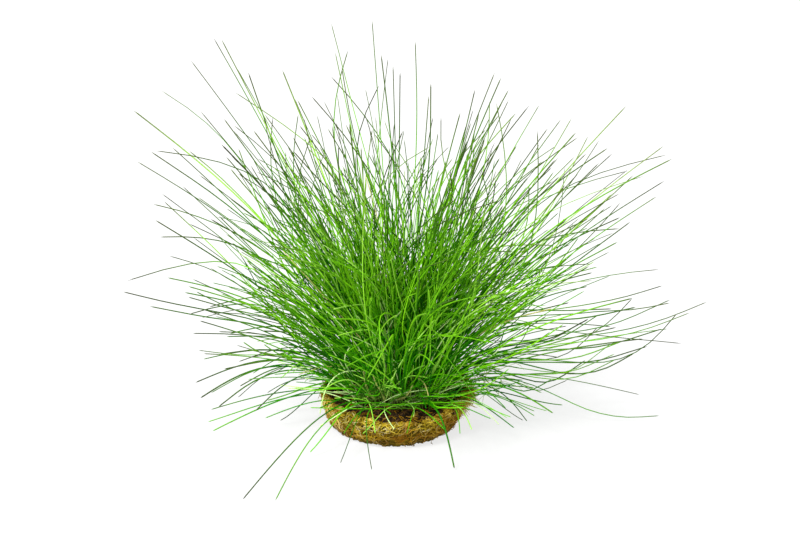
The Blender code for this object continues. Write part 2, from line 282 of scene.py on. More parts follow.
# Pale fibres on the left flank: partly the fibres' own pale tan, partly painted light on the side the light
# comes from
FLANK_FIBRES = Fibres(110, (4, 9), (0.2, 0.8), 0.93, 0.1)
FLANK_SIDES = (158, 215)
FLANK_HEIGHTS = (2, 11)
FLANK_SLANTS = (1, 1.6)
LOOSE_FIBRES = Fibres(100, (4, 10), (0.8, 3), 0.6, 0.2)
LOOSE_HEIGHTS = (2, 12)
LOOSE_SLANT = 0.7
LOOSE_START = 0.1
LOOSE_RISE = 0.5
STANDING_FIBRES = Fibres(34, (2.5, 7), (0, 0), 0.35, 0.2)
STANDING_SIDES = (130, 172)
STANDING_FOOT = 10.5
STANDING_LEAN = 0.5
STANDING_WANDER = 0.15

# Short mossy strands on the rim, and a knot of longer dead ones beside it
MOSS_STRANDS = 420
MOSS_SIDES = (-38, 42)
MOSS_INWARD = (-2.6, 0)
MOSS_HEIGHTS = (9, 11.6)
MOSS_LENGTHS = (2.5, 6)
MOSS_COLUMNS = 20
KNOT_STRANDS = 16
KNOT = (28, 4, 13)
KNOT_SPREAD = (1.5, 3, 0.8)
KNOT_LENGTHS = (10, 22)
SHORT_RISES = (0.1, 0.8)
SHORT_SPREAD = 0.5
SHORT_TURN = 0.42
SHORT_LOWEST = 0.3
SHORT_RADII = (0.08, 0.14)
SHORT_TAPER = (1.2, 0.5)
SHORT_TONES = (0.45, 1)
SHORT_DRYNESS = (0.2, 0.9)
SHORT_AGE = 0.15

# The peat
PEAT_RADIUS = 23.2
PEAT_RINGS = 46
PEAT_SPOKES = 132
PEAT_DOME_SHARES = (0, 0.5, 0.86, 1)
PEAT_DOME = (10.9, 10.4, 9.3, 8.4)
PEAT_CLODS = ((0.45, 0.32), (0.35, 0.8), (0.22, 1.9))
PEAT_NOISE_LEVEL = 3.7
PEAT_DEPTH = 4
PEAT_NARROWING = 0.9
CRUMBS = 420
CRUMB_RADII = (0.25, 0.85)
CRUMB_STRETCH = (0.6, 1.3)
CRUMB_ROUNDS = 2
CRUMB_DENTS = 0.35
CRUMB_GRAIN = 1.6
CRUMB_MARGIN = 0.6
CRUMB_LIFT = 0.2
ROOTLETS = 150
ROOTLET_LENGTHS = (3, 11)
ROOTLET_MARGIN = 1.5
ROOTLET_EDGE = 0.4
ROOTLET_LIFT = 0.15
ROOTLET_HUMP = 0.5
ROOTLET_TURN = 0.35
ROOTLET_TONES = (0.5, 0.25)
ROOTLET_COLUMNS = 15

# The pale table, lit from below as well so that shadows on it are faint, and the light from the front left
FLOOR_GLOW = 0.74
FLOOR_HALF = 6000
KEY_SIDE = (-0.42, -0.5, 1)
KEY_STRENGTH = 4.5
KEY_BREADTH = 16


class Surface:
    """A material's node tree around its Principled shader."""

    def __init__(self, name, specular):
        self.material = bpy.data.materials.new(name)
        self.material.use_nodes = True
        self.tree = self.material.node_tree
        self.shader = self.tree.nodes["Principled BSDF"]
        self.shader.inputs["Specular IOR Level"].default_value = specular

    def put(self, socket, value):
        if isinstance(value, bpy.types.NodeSocket):
            self.tree.links.new(value, socket)
        else:
            socket.default_value = value

    def add(self, kind, settings=(), **inputs):
        node = self.tree.nodes.new("ShaderNode" + kind)
        for name, value in dict(settings).items():
            setattr(node, name, value)
        for name, value in inputs.items():
            self.put(node.inputs[name.replace("_", " ")], value)
        return node

    def attribute(self, name, output="Fac"):
        return self.add("Attribute", {"attribute_name": name}).outputs[output]

    def noise(self, vector, scale, detail=3.0, roughness=0.5):
        node = self.add("TexNoise", Vector=vector, Scale=scale, Detail=detail, Roughness=roughness)
        return node.outputs["Fac"]

    def ramp(self, factor, stops):
        """A colour ramp; a stop is a place and a grey value or a colour."""
        node = self.add("ValToRGB", Fac=factor)
        elements = node.color_ramp.elements
        while len(elements) < len(stops):
            elements.new(0.5)
        for element, (place, colour) in zip(elements, stops):
            element.position = place
            element.color = (*colour, 1) if isinstance(colour, tuple) else (colour, colour, colour, 1)
        return node.outputs["Color"]

    def mix(self, factor, first, second, blend="MIX"):
        node = self.add("Mix", {"data_type": "RGBA", "blend_type": blend})
        for place, value in ((0, factor), (6, first), (7, second)):
            self.put(node.inputs[place], (*value, 1) if isinstance(value, tuple) else value)
        return node.outputs[2]

    def combined(self, operation, first, second):
        node = self.add("Math", {"operation": operation})
        self.put(node.inputs[0], first)
        self.put(node.inputs[1], second)
        return node.outputs[0]

    def place(self):
        return self.add("TexCoord").outputs["Object"]

    def span(self, value, low, high):
        """A value from 0 to 1 brought to a range from low to high."""
        return self.add("MapRange", Value=value, To_Min=low, To_Max=high).outputs["Result"]

    def falling(self, value, start, end, most):
        """That much up to a start, given in millimetres, and down to nothing at an end."""
        return self.add("MapRange", Value=value, From_Min=start * MM, From_Max=end * MM,
                        To_Min=most, To_Max=0.0).outputs["Result"]

    def damp_edge(self, place):
        """How damp the mat is: its lowest few millimetres are, unevenly."""
        height = self.add("SeparateXYZ", Vector=place).outputs["Z"]
        ragged = self.span(self.noise(place, 160.0, 2.0), -DAMP_HEIGHT * MM, DAMP_HEIGHT * MM)
        return self.falling(self.combined("ADD", height, ragged), 0, DAMP_HEIGHT, DAMPEST)

    def inner_rim(self, place, most):
        """That much on the inner side of the mat's rim, and nothing outside it."""
        reach = self.add("VectorMath", {"operation": "LENGTH"}, Vector=self.stretched(place, (1.0, 1.0, 0.0)))
        return self.falling(reach.outputs["Value"], *INNER_RIM, most)

    def stretched(self, vector, scale):
        return self.add("Mapping", Vector=vector, Scale=scale).outputs["Vector"]

    def finish(self, colour, roughness, height, depth, strength=0.6):
        """Joins colour, roughness and a bump of that depth in metres to the shader."""
        bump = self.add("Bump", Height=height, Distance=depth, Strength=strength)
        normal = bump.outputs["Normal"]
        for name, value in (("Base Color", colour), ("Roughness", roughness), ("Normal", normal)):
            self.put(self.shader.inputs[name], value)
        return self.material


def blade_material():
    """Satin green stems: pale at the foot, lightened along the middle by painted light, olive to brown at the
    tip.
    """
    s = Surface("hairgrass_blade", 0.03)
    along, tone = s.attribute("along"), s.attribute("tone")
    fresh = s.ramp(tone, (
        (0.0, (0.001, 0.09, 0.0001)), (0.3, (0.03, 0.285, 0.0002)),
        (0.65, (0.17, 0.62, 0.004)), (0.88, (0.44, 0.88, 0.1)), (1.0, (0.7, 0.96, 0.38)),
    ))
    # Painted light: the middle of each blade's length is mixed towards a light yellow-green, more on
    # bright-toned blades, for the light it catches above the shaded foot
    middle = s.ramp(along, ((0.29, 0.0), (0.46, 0.8), (0.65, 0.5), (0.9, 0.1)))
    strength = s.add("MapRange", Value=tone, From_Min=-0.15, From_Max=0.6).outputs["Result"]
    light = s.mix(s.combined("MULTIPLY", middle, strength), fresh, (0.255, 0.63, 0.012))
    olive = s.mix(s.ramp(along, ((0.62, 0.0), (0.97, 0.9))), light, (0.1, 0.12, 0.024))
    foot = s.mix(s.ramp(along, ((0.0, 0.8), (0.04, 0.25), (0.12, 0.0))), olive, (0.3, 0.36, 0.09))
    aged = s.mix(s.attribute("age"), foot, (0.04, 0.05, 0.018))
    straw = s.mix(s.attribute("dry"), aged, (0.56, 0.54, 0.16))
    skin = s.attribute("skin", "Vector")
    fine = s.noise(s.stretched(skin, (2.2, 2.2, 0.12)), 2.0, 2.0)
    patchy = s.noise(skin, 0.22, 3.0)
    colour = s.mix(0.45, straw, s.ramp(patchy, ((0.3, 0.55), (0.7, 1.0))), "MULTIPLY")
    return s.finish(colour, s.span(patchy, 0.38, 0.56), fine, 0.00006)


def fibre_material():
    """Plant fibre from dark brown to straw, with mossy and rusty patches."""
    s = Surface("matted_fibre", 0.1)
    place = s.place()
    tone = s.attribute("tone")
    brown = s.ramp(tone, (
        (0.0, (0.03, 0.018, 0.0005)), (0.3, (0.32, 0.21, 0.004)),
        (0.6, (0.72, 0.545, 0.03)), (0.85, (0.85, 0.7, 0.11)), (1.0, (0.9, 0.79, 0.38)),
    ))
    moss = s.noise(place, 90.0, 2.0)
    mossy = s.mix(s.ramp(moss, ((0.5, 0.0), (0.66, 0.35))), brown, (0.13, 0.14, 0.004))
    rust = s.noise(place, 140.0, 2.0)
    rusty = s.mix(s.ramp(rust, ((0.5, 0.0), (0.68, 0.6))), mossy, (0.34, 0.085, 0.003))
    orange = s.mix(s.inner_rim(place, 0.7), rusty, (0.34, 0.13, 0.003))
    fresh = s.mix(s.attribute("dry"), orange, (0.26, 0.27, 0.01))
    damp = s.mix(s.damp_edge(place), fresh, (0.11, 0.105, 0.045))
    skin = s.attribute("skin", "Vector")
    fine = s.noise(s.stretched(skin, (1.5, 1.5, 0.5)), 3.0, 3.0)
    colour = s.mix(0.4, damp, s.ramp(fine, ((0.25, 0.45), (0.7, 1.0))), "MULTIPLY")
    return s.finish(colour, s.span(fine, 0.7, 0.95), fine, 0.00008)


def felt_material():
    """The mat's felted body between its fibres: dark brown, streaked around the wall."""
    s = Surface("felted_mat", 0.1)
    place = s.place()
    streaks = s.noise(s.stretched(place, (1.0, 1.0, 3.5)), 420.0, 5.0, 0.65)
    patches = s.noise(place, 110.0, 3.0)
    brown = s.ramp(streaks, (
        (0.32, (0.012, 0.007, 0.0003)), (0.47, (0.09, 0.056, 0.002)),
        (0.6, (0.3, 0.2, 0.008)), (0.72, (0.46, 0.33, 0.03)),
    ))
    mossy = s.mix(s.ramp(patches, ((0.5, 0.0), (0.7, 0.5))), brown, (0.05, 0.055, 0.004))
    colour = s.mix(s.damp_edge(place), mossy, (0.018, 0.02, 0.006))
    return s.finish(colour, s.span(streaks, 0.8, 1.0), streaks, 0.0005, 1.0)


def peat_material():
    """Damp dark peat with brown and rusty bits."""
    s = Surface("damp_peat", 0.1)
    place = s.place()
    bits = s.noise(place, 900.0, 4.0, 0.6)
    clods = s.noise(place, 210.0, 3.0)
    dark = s.ramp(bits, (
        (0.35, (0.008, 0.005, 0.002)), (0.52, (0.03, 0.016, 0.006)),
        (0.64, (0.11, 0.05, 0.014)), (0.76, (0.26, 0.12, 0.035)),
    ))
    colour = s.mix(0.6, dark, s.ramp(clods, ((0.35, 0.4), (0.65, 1.0))), "MULTIPLY")
    return s.finish(colour, s.span(clods, 0.62, 0.95), bits, 0.0004, 1.0)


def floor_material():
    s = Surface("pale_floor", 0.0)
    place = s.place()
    grain = s.noise(place, 30.0, 2.0)
    colour = s.ramp(grain, ((0.0, 0.165), (1.0, 0.185)))
    s.shader.inputs["Emission Color"].default_value = (1, 1, 1, 1)
    s.shader.inputs["Emission Strength"].default_value = FLOOR_GLOW
    return s.finish(colour, s.span(grain, 0.7, 0.8), grain, 0.00001)


def welded(node):
    """A solid's corners, each once, and its triangles."""
    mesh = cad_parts[node].data
    places = np.empty(len(mesh.vertices) * 3)
    mesh.vertices.foreach_get("co", places)
    corners, same = np.unique(np.round(places.reshape(-1, 3) / MM, 4), axis=0, return_inverse=True)
    mesh.calc_loop_triangles()
    triangles = np.empty(len(mesh.loop_triangles) * 3, int)
    mesh.loop_triangles.foreach_get("vertices", triangles)
    return corners, same.reshape(-1)[triangles].reshape(-1, 3)


def guide_paths(node):
    """The lines along the middle of a plantlet solid's blades, from crown to tip, the longest first.
    A blade's solid ends in the smallest faces, and each of its rings of three corners leads to the next."""
    corners, triangles = welded(node)
    first, second, third = (corners[triangles[:, k]] for k in range(3))
    areas = norm(np.cross(second - first, third - first), axis=1)
    beside = [set() for _ in corners]
    for face in triangles.tolist():
        for corner in face:
            beside[corner].update(face)
    paths = []
    for tip_face in triangles[np.argsort(areas)[:GUIDES]].tolist():
        ring = set(tip_face)
        passed = set(ring)
        centres = []
        while len(ring) == 3:
            centres.append(corners[sorted(ring)].mean(axis=0))
            ring = set().union(*(beside[corner] for corner in ring)) - passed
            passed |= ring
        line = np.array(centres[::-1])
        off_foot = norm(line - line[0], axis=1)
        paths.append(smooth_path(line[(off_foot == 0) | (off_foot > SHORTEST_STRETCH)], BLADE_POINTS))
    return sorted(paths, key=lambda path: -norm(path[-1] - path[0]))


def smooth_path(points, count):
    """That many points on a smooth curve through the given ones."""
    held = np.vstack([2 * points[0] - points[1], points, 2 * points[-1] - points[-2]])
    place = np.linspace(0, len(points) - 1, count)
    start = np.minimum(place.astype(int), len(points) - 2)
    t = (place - start)[:, None]
    a, b, c, d = (held[start + k] for k in range(4))
    return 0.5 * (2 * b + (c - a) * t + (2 * a - 5 * b + 4 * c - d) * t**2 + (3 * b - a - 3 * c + d) * t**3)


def seeded(number):
    """The random draws of one piece, from a seed of its own."""
    return np.random.default_rng((SEED, number))


def unit(vector):
    return vector / norm(vector)


def on_ring(angle, radius, height):
    """A point at a distance from the upright middle axis, at a height."""
    return np.array((radius * cos(angle), radius * sin(angle), height))


def sideways(rng, direction):
    """A random unit vector square to a direction."""
    vector = rng.normal(size=3)
    return unit(vector - direction * (vector @ direction))


def turned(vectors, axis, angle):
    """Vectors turned about a unit axis."""
    cosine, sine = cos(angle), sin(angle)
    along = (vectors @ axis)[:, None] * axis
    return vectors * cosine + np.cross(axis, vectors) * sine + along * (1 - cosine)


def cleared(path, gap):
    """A path arched, most at a third of its length, and raised at its far end, as far as it takes to clear
    the peat, the mat's rim and the floor."""
    shares = BLADE_SHARES[:, 0]
    hump = 27 / 4 * shares * (1 - shares) ** 2
    arch = ARCH_OVER_RIM * norm(path[-1] - path[0])
    raised = path.copy()
    for rise, end, most in ((hump, ARCHED_POINTS, arch), (shares, len(path), inf)):
        land = np.interp(np.hypot(raised[:, 0], raised[:, 1]), LAND_RADII, LAND_HEIGHTS)
        short = land + gap - raised[:, 2]
        needed = (short[ROOTED_POINTS:end] / rise[ROOTED_POINTS:end]).max()
        raised[:, 2] += rise * min(max(0, needed), most)
    return raised


def inside_box(path):
    """A path shortened, where it has to be, to end inside the solids' own box."""
    low, high = (np.array(corner) / MM for corner in cad_box)
    moves = path - path[0]
    room = np.where(moves > 0, high - path[0], path[0] - low)
    return path[0] + moves * min(1, (room / np.maximum(np.abs(moves), 1e-6)).min())


def bowed(rng, path, most):
    """A path bowed to a random side between its ends."""
    chord = path[-1] - path[0]
    length = norm(chord)
    return path + BLADE_HUMP * rng.normal() * most * length * sideways(rng, chord / length)


def bent(rng, path):
    """A path with the small bows, droops and kinks of a grown blade. Outward blades arch on the left, and on
    the right they sag and rise again."""
    chord = path[-1] - path[0]
    length = norm(chord)
    direction = chord / length
    flat = np.hypot(chord[0], chord[1])
    path = bowed(rng, path, BOW)
    sweep = SWEEP_LEFT if chord[0] < 0 else SWEEP_RIGHT
    path[:, 2] -= BLADE_HUMP[:, 0] * rng.random() * sweep * chord[0]
    path = path + np.sin(tau * BLADE_SHARES) * rng.normal() * WAVE * length * sideways(rng, direction)
    curl = np.clip((BLADE_SHARES - CURL_START) / (1 - CURL_START), 0, 1) ** 2
    path = path + curl * rng.normal() * CURL * length * sideways(rng, direction)
    path[:, 2] -= BLADE_SHARES[:, 0] ** 2 * rng.random() * DROOP * (flat / DROOP_REACH) ** 2
    if rng.random() < KINK_CHANCE:
        knee = int(rng.uniform(*KINK_PLACES) * len(path))
        angle = radians(rng.uniform(*KINK_DEGREES))
        path[knee:] = path[knee] + turned(path[knee:] - path[knee], sideways(rng, direction), angle)
    return path


def side_path(rng, guides, reach):
    """A blade between a plantlet's guides or a little beside them, up to a share of their reach."""
    if rng.random() < COMPANION_CHANCE:
        path, shares_drawn, fan = guides[0], COMPANION_SHARES, COMPANION_FAN
    else:
        weights = rng.dirichlet(np.full(GUIDES, GUIDE_MIX))
        fan = LOW_FAN if guides[0][-1, 2] < LOW_TIP else FAN
        path, shares_drawn = sum(w * guide for w, guide in zip(weights, guides)), SIDE_BLADE_SHARES
    path = path[0] + (path - path[0]) * rng.triangular(*shares_drawn) * reach
    chord = path[-1] - path[0]
    length = norm(chord)
    aside = np.clip(rng.normal(), -WIDEST_FAN, WIDEST_FAN) * fan * length * sideways(rng, chord / length)
    if path[-1, 2] < STRAY_TIP:
        aside[2] = abs(aside[2])
    path = path + BLADE_SHARES**FAN_CURVE * aside
    path[:, :2] += rng.uniform(-ROOT_SPREAD, ROOT_SPREAD, 2) * (1 - BLADE_SHARES)
    return bent(rng, path)


def rooted(place):
    """A blade's start, a little below the peat."""
    return np.array((*place, peat_height(*place) - ROOT_DEPTH))


def front_blades():
    """The roots and tips of the blades that cross the front, and of the clump there."""
    rng = seeded(1000)
    ends = [((right, back), tip) for right, back, *tip in CROSSINGS]
    for _ in range(CLUMP_BLADES):
        foot = np.array(CLUMP) + rng.normal(size=2) * CLUMP_SPREAD
        ends.append((foot, [rng.uniform(*span) for span in CLUMP_TIPS]))
    for count, leans, lengths, forward in LEANING:
        for _ in range(count):
            right, back = (rng.uniform(*span) for span in LEANING_FEET)
            lean = radians(rng.uniform(*leans)) * rng.choice((-1, 1))
            length = rng.uniform(*lengths)
            across, up = length * sin(lean), length * cos(lean)
            tip = (right + across, back + rng.uniform(*forward), FRONT_FOOT + up)
            ends.append(((right, back), tip))
    return [(rooted(root), tip) for root, tip in ends]


def inner_blades():
    """The roots and tips of the blades that fill the middle and the back."""
    rng = seeded(1006)
    ends = []
    while len(ends) < INNER_BLADES:
        root = [rng.uniform(*span) for span in INNER_FEET]
        lean, back = (radians(rng.uniform(*span)) for span in INNER_LEANS)
        direction = unit(np.array((tan(lean), tan(back), 1)))
        if hypot(*root) < PEAT_RADIUS - INNER_MARGIN:
            foot = rooted(root)
            ends.append((foot, foot + rng.uniform(*INNER_LENGTHS) * direction))
    return ends


def lone_path(rng, foot, tip, arch):
    """A single blade from its root to a tip of its own."""
    chord = np.array(tip) - foot
    level = unit(np.cross(chord, (0, 0, 1)))
    upward = np.cross(level, unit(chord))
    hump = BLADE_HUMP * rng.uniform(*arch) * norm(chord) * upward
    return bowed(rng, foot + BLADE_SHARES * chord + hump, arch[1] / 2)


def stray_path(rng, foot, tip):
    """A blade that leaves a plantlet's bundle and crosses its neighbours."""
    chord = unit(tip - foot)
    direction = unit(chord + rng.normal() * STRAY_SPREAD * sideways(rng, chord) + (0, 0, STRAY_RISE))
    length = rng.triangular(*STRAY_LENGTHS)
    length *= norm(tip - foot) / STRAY_REACH * np.clip(2 * direction[2], STRAY_SHORTEST, 1)
    return bent(rng, foot + BLADE_SHARES * length * direction)


def low_path(rng, foot, heading):
    """A short blade low over the mat, more or less to a plantlet's own side."""
    side = heading + rng.normal() * LOW_SPREAD
    rise = radians(rng.uniform(*LOW_DEGREES))
    direction = on_ring(side, cos(rise), sin(rise))
    path = foot + BLADE_SHARES * direction * rng.uniform(*LOW_LENGTHS)
    return bent(rng, path + BLADE_HUMP * rng.uniform(0, LOW_ARCH) * np.array((0, 0, 1)))


def blade(rng, path, girth=1.0, tones=(0, 1), oldest=1.0):
    """A blade along a path, with its own thickness, green and age."""
    shares = np.append(np.linspace(0, POINT_SHARE, BLADE_POINTS - 1), 1)
    radius = rng.uniform(*BLADE_RADII) * girth
    radii = radius * np.interp(shares, BLADE_TAPER_SHARES, BLADE_TAPER)
    chances, starts = AGE_CHANCES, AGE_STARTS
    right, back, up = path[-1]
    lying = up < LYING_TIP and hypot(right, back) > LYING_REACH
    if lying or up < LOW_TIP and abs(right) > OUTLYING_SIDE:
        tones, chances, starts = OUTLYING_LOOKS
        radii = radii * OUTLYING_GIRTH
    elif back < FRONT_TIP:
        tones, oldest = FRONT_TIP_TONES, SHELTERED_AGE
    else:
        oldest *= min(1, norm(path[-1] - path[0]) / GROWN_LENGTH) ** 2
    oldness = rng.choice(AGES, p=chances)
    start = rng.uniform(*starts)
    age = oldest * oldness * np.clip((shares - start) / (1 - start), 0, 1) ** AGE_CURVE
    dry = 1.0 if rng.random() < DRY_CHANCE else 0.0
    tone = np.interp(rng.normal(*TONES[rng.choice(len(TONES), p=TONE_CHANCES)]), (0, 1), tones)
    path = cleared(inside_box(path), radius)
    path = np.stack([np.interp(shares, BLADE_SHARES[:, 0], path[:, k]) for k in range(3)], axis=1)
    return Strand(path, radii, tone, dry, age)


def stub(rng, foot):
    """A short dead leaf base beside a crown."""
    heading = rng.uniform(0, tau)
    length = rng.uniform(*STUB_LENGTHS)
    lean = rng.uniform(*STUB_LEANS)
    direction = on_ring(heading, sin(lean), cos(lean))
    path = bent(rng, foot + BLADE_SHARES * length * direction)
    radii = rng.uniform(*STUB_RADII) * np.interp(BLADE_SHARES[:, 0], BLADE_TAPER_SHARES, BLADE_TAPER)
    tone, dry, age = rng.random(), rng.uniform(*STUB_DRYNESS), STUB_AGE * rng.random()
    return Strand(cleared(path, STUB_GAP), radii, tone, dry, age)


def side_directions(path):
    """Two unit sideways directions at each point of a path, turned as little as they can be."""
    tangents = np.gradient(path, axis=0)
    tangents /= norm(tangents, axis=1)[:, None]
    across = np.cross(tangents[0], FIRST_SIDE)
    sides = []
    for tangent in tangents:
        across = unit(across - tangent * (across @ tangent))
        sides.append((across, np.cross(tangent, across)))
    return np.array(sides)


def strands_object(name, strands, sides, columns, material):
    """Tubes with pointed ends as one mesh, each with its own field of the texture square. Each point knows
    how far along its strand it is, and the strand's tone, dryness and age; skin is a direction round the
    strand with the distance along it in millimetres."""
    rings = len(strands[0].path) - 1
    angles = tau * np.arange(sides) / sides
    around = np.stack([np.cos(angles), np.sin(angles)], axis=1)
    points, faces, coordinates = [], [], []
    values = {"along": [], "tone": [], "dry": [], "age": [], "skin": []}
    size = np.array((1 / columns, 1 / ceil(len(strands) / columns)))
    for number, strand in enumerate(strands):
        corner = np.array((number % columns, number // columns)) * size
        start = len(points)
        frames = side_directions(strand.path)
        distances = np.append(0, np.cumsum(norm(np.diff(strand.path, axis=0), axis=1)))
        for k in range(rings):
            points.extend(strand.path[k] + strand.radii[k] * around @ frames[k])
        points.append(strand.path[rings])
        ring_of = np.append(np.repeat(np.arange(rings), sides), rings)
        values["along"].extend(ring_of / rings * min(1, distances[-1] / GROWN_LENGTH))
        values["tone"].extend(np.full(len(ring_of), strand.tone))
        values["dry"].extend(np.full(len(ring_of), strand.dry))
        values["age"].extend(np.broadcast_to(strand.age, len(strand.path))[ring_of])
        skin = np.zeros((len(ring_of), 3))
        skin[:-1, :2] = np.tile(around, (rings, 1))
        skin[:, 2] = distances[ring_of] + GRAIN_SHIFT * strand.tone
        values["skin"].extend(skin)
        for k in range(rings):
            for j in range(sides):
                left, right = (SKIN_CORNER[0] + SKIN_SIZE[0] * (j + side) / sides for side in (0, 1))
                low, high = (SKIN_CORNER[1] + SKIN_SIZE[1] * (k + up) / rings for up in (0, 1))
                here = start + k * sides
                following = (j + 1) % sides
                if k < rings - 1:
                    faces.append((here + j, here + following, here + sides + following, here + sides + j))
                    field = ((left, low), (right, low), (right, high), (left, high))
                else:
                    faces.append((here + j, here + following, start + rings * sides))
                    field = ((left, low), (right, low), ((left + right) / 2, high))
                coordinates.extend(corner + size * np.array(field))
        faces.append(tuple(start + np.arange(sides)[::-1]))
        coordinates.extend(corner + size * (np.array(CAP_MIDDLE) + around[::-1] * CAP_RADII))
    mesh = meshed(name, points, faces)
    for key in ("along", "tone", "dry", "age"):
        attribute = mesh.attributes.new(key, "FLOAT", "POINT")
        attribute.data.foreach_set("value", np.array(values[key], np.float32))
    skins = np.array(values["skin"], np.float32).reshape(-1)
    mesh.attributes.new("skin", "FLOAT_VECTOR", "POINT").data.foreach_set("vector", skins)
    mesh.uv_layers.new(name="OFBake").uv.foreach_set("vector", np.array(coordinates, np.float32).reshape(-1))
    return placed(name, mesh, material)


def meshed(name, points, faces):
    """A smoothly shaded mesh, with its points given in millimetres."""
    mesh = bpy.data.meshes.new(name)
    mesh.from_pydata(np.array(points) * MM, [], faces)
    mesh.shade_smooth()
    return mesh


def added(name, data):
    """A new object in the scene."""
    thing = bpy.data.objects.new(name, data)
    bpy.context.scene.collection.objects.link(thing)
    return thing


def placed(name, mesh, material):
    mesh.materials.append(material)
    piece = added(name, mesh)
    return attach(piece, "root")


def plantlets(material):
    """The blades of each plantlet, around the lines of its solid's own blades."""
    names = sorted(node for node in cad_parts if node.startswith("plantlet"))
    guides = {name: guide_paths(name) for name in names}
    lone = {name: [] for name in names}
    for tip in LONE_TIPS:
        lone[nearest_plantlet(guides, lone, tip)].append(tip)
    crossing = shared_out(guides, front_blades())
    inner = shared_out(guides, inner_blades())
    for number, name in enumerate(names):
        rng = seeded(number)
        foot = guides[name][0][0]
        strands = bundle(rng, guides[name])
        strands += [blade(rng, lone_path(rng, foot, tip, LONE_ARCH)) for tip in lone[name]]
        # Inner blades take darker tones as painted shade; blades over the front take bright tones as painted
        # light
        for group, girth, tones in ((crossing, CROSSING_GIRTH, FRONT_PAINTED_LIGHT_TONES), (inner, 1.0, INNER_PAINTED_SHADE_TONES)):
            for root, end in group[name]:
                # Low blades over the front get the brightest tones, painted light
                shades = LOW_FRONT_PAINTED_LIGHT_TONES if end[2] < LOW_FRONT else tones
                path = lone_path(rng, root, end, CROSSING_ARCH)
                strands.append(blade(rng, path, girth, shades, SHELTERED_AGE))
        strands += [stub(rng, foot) for _ in range(STUBS)]
        piece = strands_object(name + "_blades", strands, BLADE_SIDES, len(strands), material)
        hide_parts(name)


def bundle(rng, guides):
    """A plantlet's own blades: along its guides, between them, straying from them, and low over the mat."""
    foot, tip = guides[0][0], guides[0][-1]
    chord = tip - foot
    full = fullness(chord)
    strands = [blade(rng, guides[0], LEAD_GIRTH)]
    # Followers of a lead that ends over the front get bright tones as painted light
    tones = FRONT_PAINTED_LIGHT_TONES if tip[1] < FRONT_LEAD else FOLLOWER_TONES
    strands += [blade(rng, bowed(rng, path, GUIDE_BOW), FOLLOWER_GIRTH, tones) for path in guides[1:]]
    reach = np.interp(full, (0, 1), (THIN_BUNDLE_LENGTH, 1))
    for _ in range(round(full * np.interp(tip[2], TIP_HEIGHTS, SIDE_BLADES))):
        strands.append(blade(rng, side_path(rng, guides, reach)))
    for _ in range(round(full * STRAY_BLADES) if tip[2] > STRAY_TIP else 0):
        strands.append(blade(rng, stray_path(rng, foot, tip)))
    heading = atan2(chord[1], chord[0])
    for _ in range(LOW_BLADES if tip[0] < LOW_SIDE else 0):
        strands.append(blade(rng, low_path(rng, foot, heading), tones=LOW_TONES))
    return strands


def fullness(chord):
    """How full a bundle is whose longest blade has that chord."""
    side = degrees(atan2(chord @ np.array(PICTURE_UP), chord[0]))
    return np.interp(side if side > -90 else side + 360, BUNDLE_SIDES, BUNDLE_SHARES)


def shared_out(guides, blades):
    """Blades, each a root and a tip, given to the plantlet that is rooted nearest."""
    group = {name: [] for name in guides}
    for root, tip in blades:
        owner = min(guides, key=lambda name: norm(guides[name][0][0][:2] - root[:2]))
        group[owner].append((root, tip))
    return group


def nearest_plantlet(guides, lone, tip):
    """The plantlet whose longest blade points most nearly at a tip, and that has no lone blade yet."""
    def miss(name):
        lead = guides[name][0]
        return norm(unit(lead[-1] - lead[0]) - unit(np.array(tip) - lead[0])) + len(lone[name])
    return min(guides, key=miss)


def layered_noise(place, layers):
    """A noise of several depths and scales."""
    return sum(depth * noise.noise(place * scale) for depth, scale in layers)


def roughened(mesh):
    """Moves a mesh's points along their normals by a rough noise, none below the floor."""
    moves = []
    for vertex in mesh.vertices:
        coarse = layered_noise(vertex.co / MM, MAT_LUMPS)
        moves.append(vertex.co + vertex.normal * coarse * MAT_ROUGHNESS * MM)
    for vertex, place in zip(mesh.vertices, moves):
        place.z = max(place.z, 0)
        vertex.co = place


def dented(mesh):
    """Presses the front right of the mat's lower wall inwards."""
    for vertex in mesh.vertices:
        side = degrees(atan2(vertex.co.y, vertex.co.x))
        nearness = exp(-(((side - DENT_SIDE) / DENT_WIDTH) ** 2))
        lowness = min(1, max(0, (DENT_TOP - vertex.co.z / MM) / DENT_FADE))
        reach = hypot(vertex.co.x, vertex.co.y) / MM
        if reach > 1:
            share = 1 - DENT_DEPTH * nearness * lowness * min(1, reach / WALL_RADIUS) / reach
            vertex.co.x *= share
            vertex.co.y *= share


def mat_body(material):
    """The felted body: the solid's own form in fine faces, smoothed and roughened."""
    corners, triangles = welded("fibre_mat")
    piece = placed("mat_felt", meshed("mat_felt", corners, triangles.tolist()), material)
    remesh = piece.modifiers.new("even_faces", "REMESH")
    remesh.mode = "VOXEL"
    remesh.voxel_size = MAT_VOXEL * MM
    smooth = piece.modifiers.new("no_facets", "SMOOTH")
    smooth.iterations = MAT_SMOOTHING
    fine = bpy.data.meshes.new_from_object(piece.evaluated_get(bpy.context.evaluated_depsgraph_get()))
    piece.modifiers.clear()
    piece.data = fine
    dented(fine)
    roughened(fine)
    fine.shade_smooth()
    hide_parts("fibre_mat")
    return piece


def surface_of(*pieces):
    """The surface of one or more pieces, to lay fibres on."""
    points, faces = [], []
    for piece in pieces:
        faces += [tuple(len(points) + k for k in polygon.vertices) for polygon in piece.data.polygons]
        points += [vertex.co / MM for vertex in piece.data.vertices]
    return BVHTree.FromPolygons(points, faces)


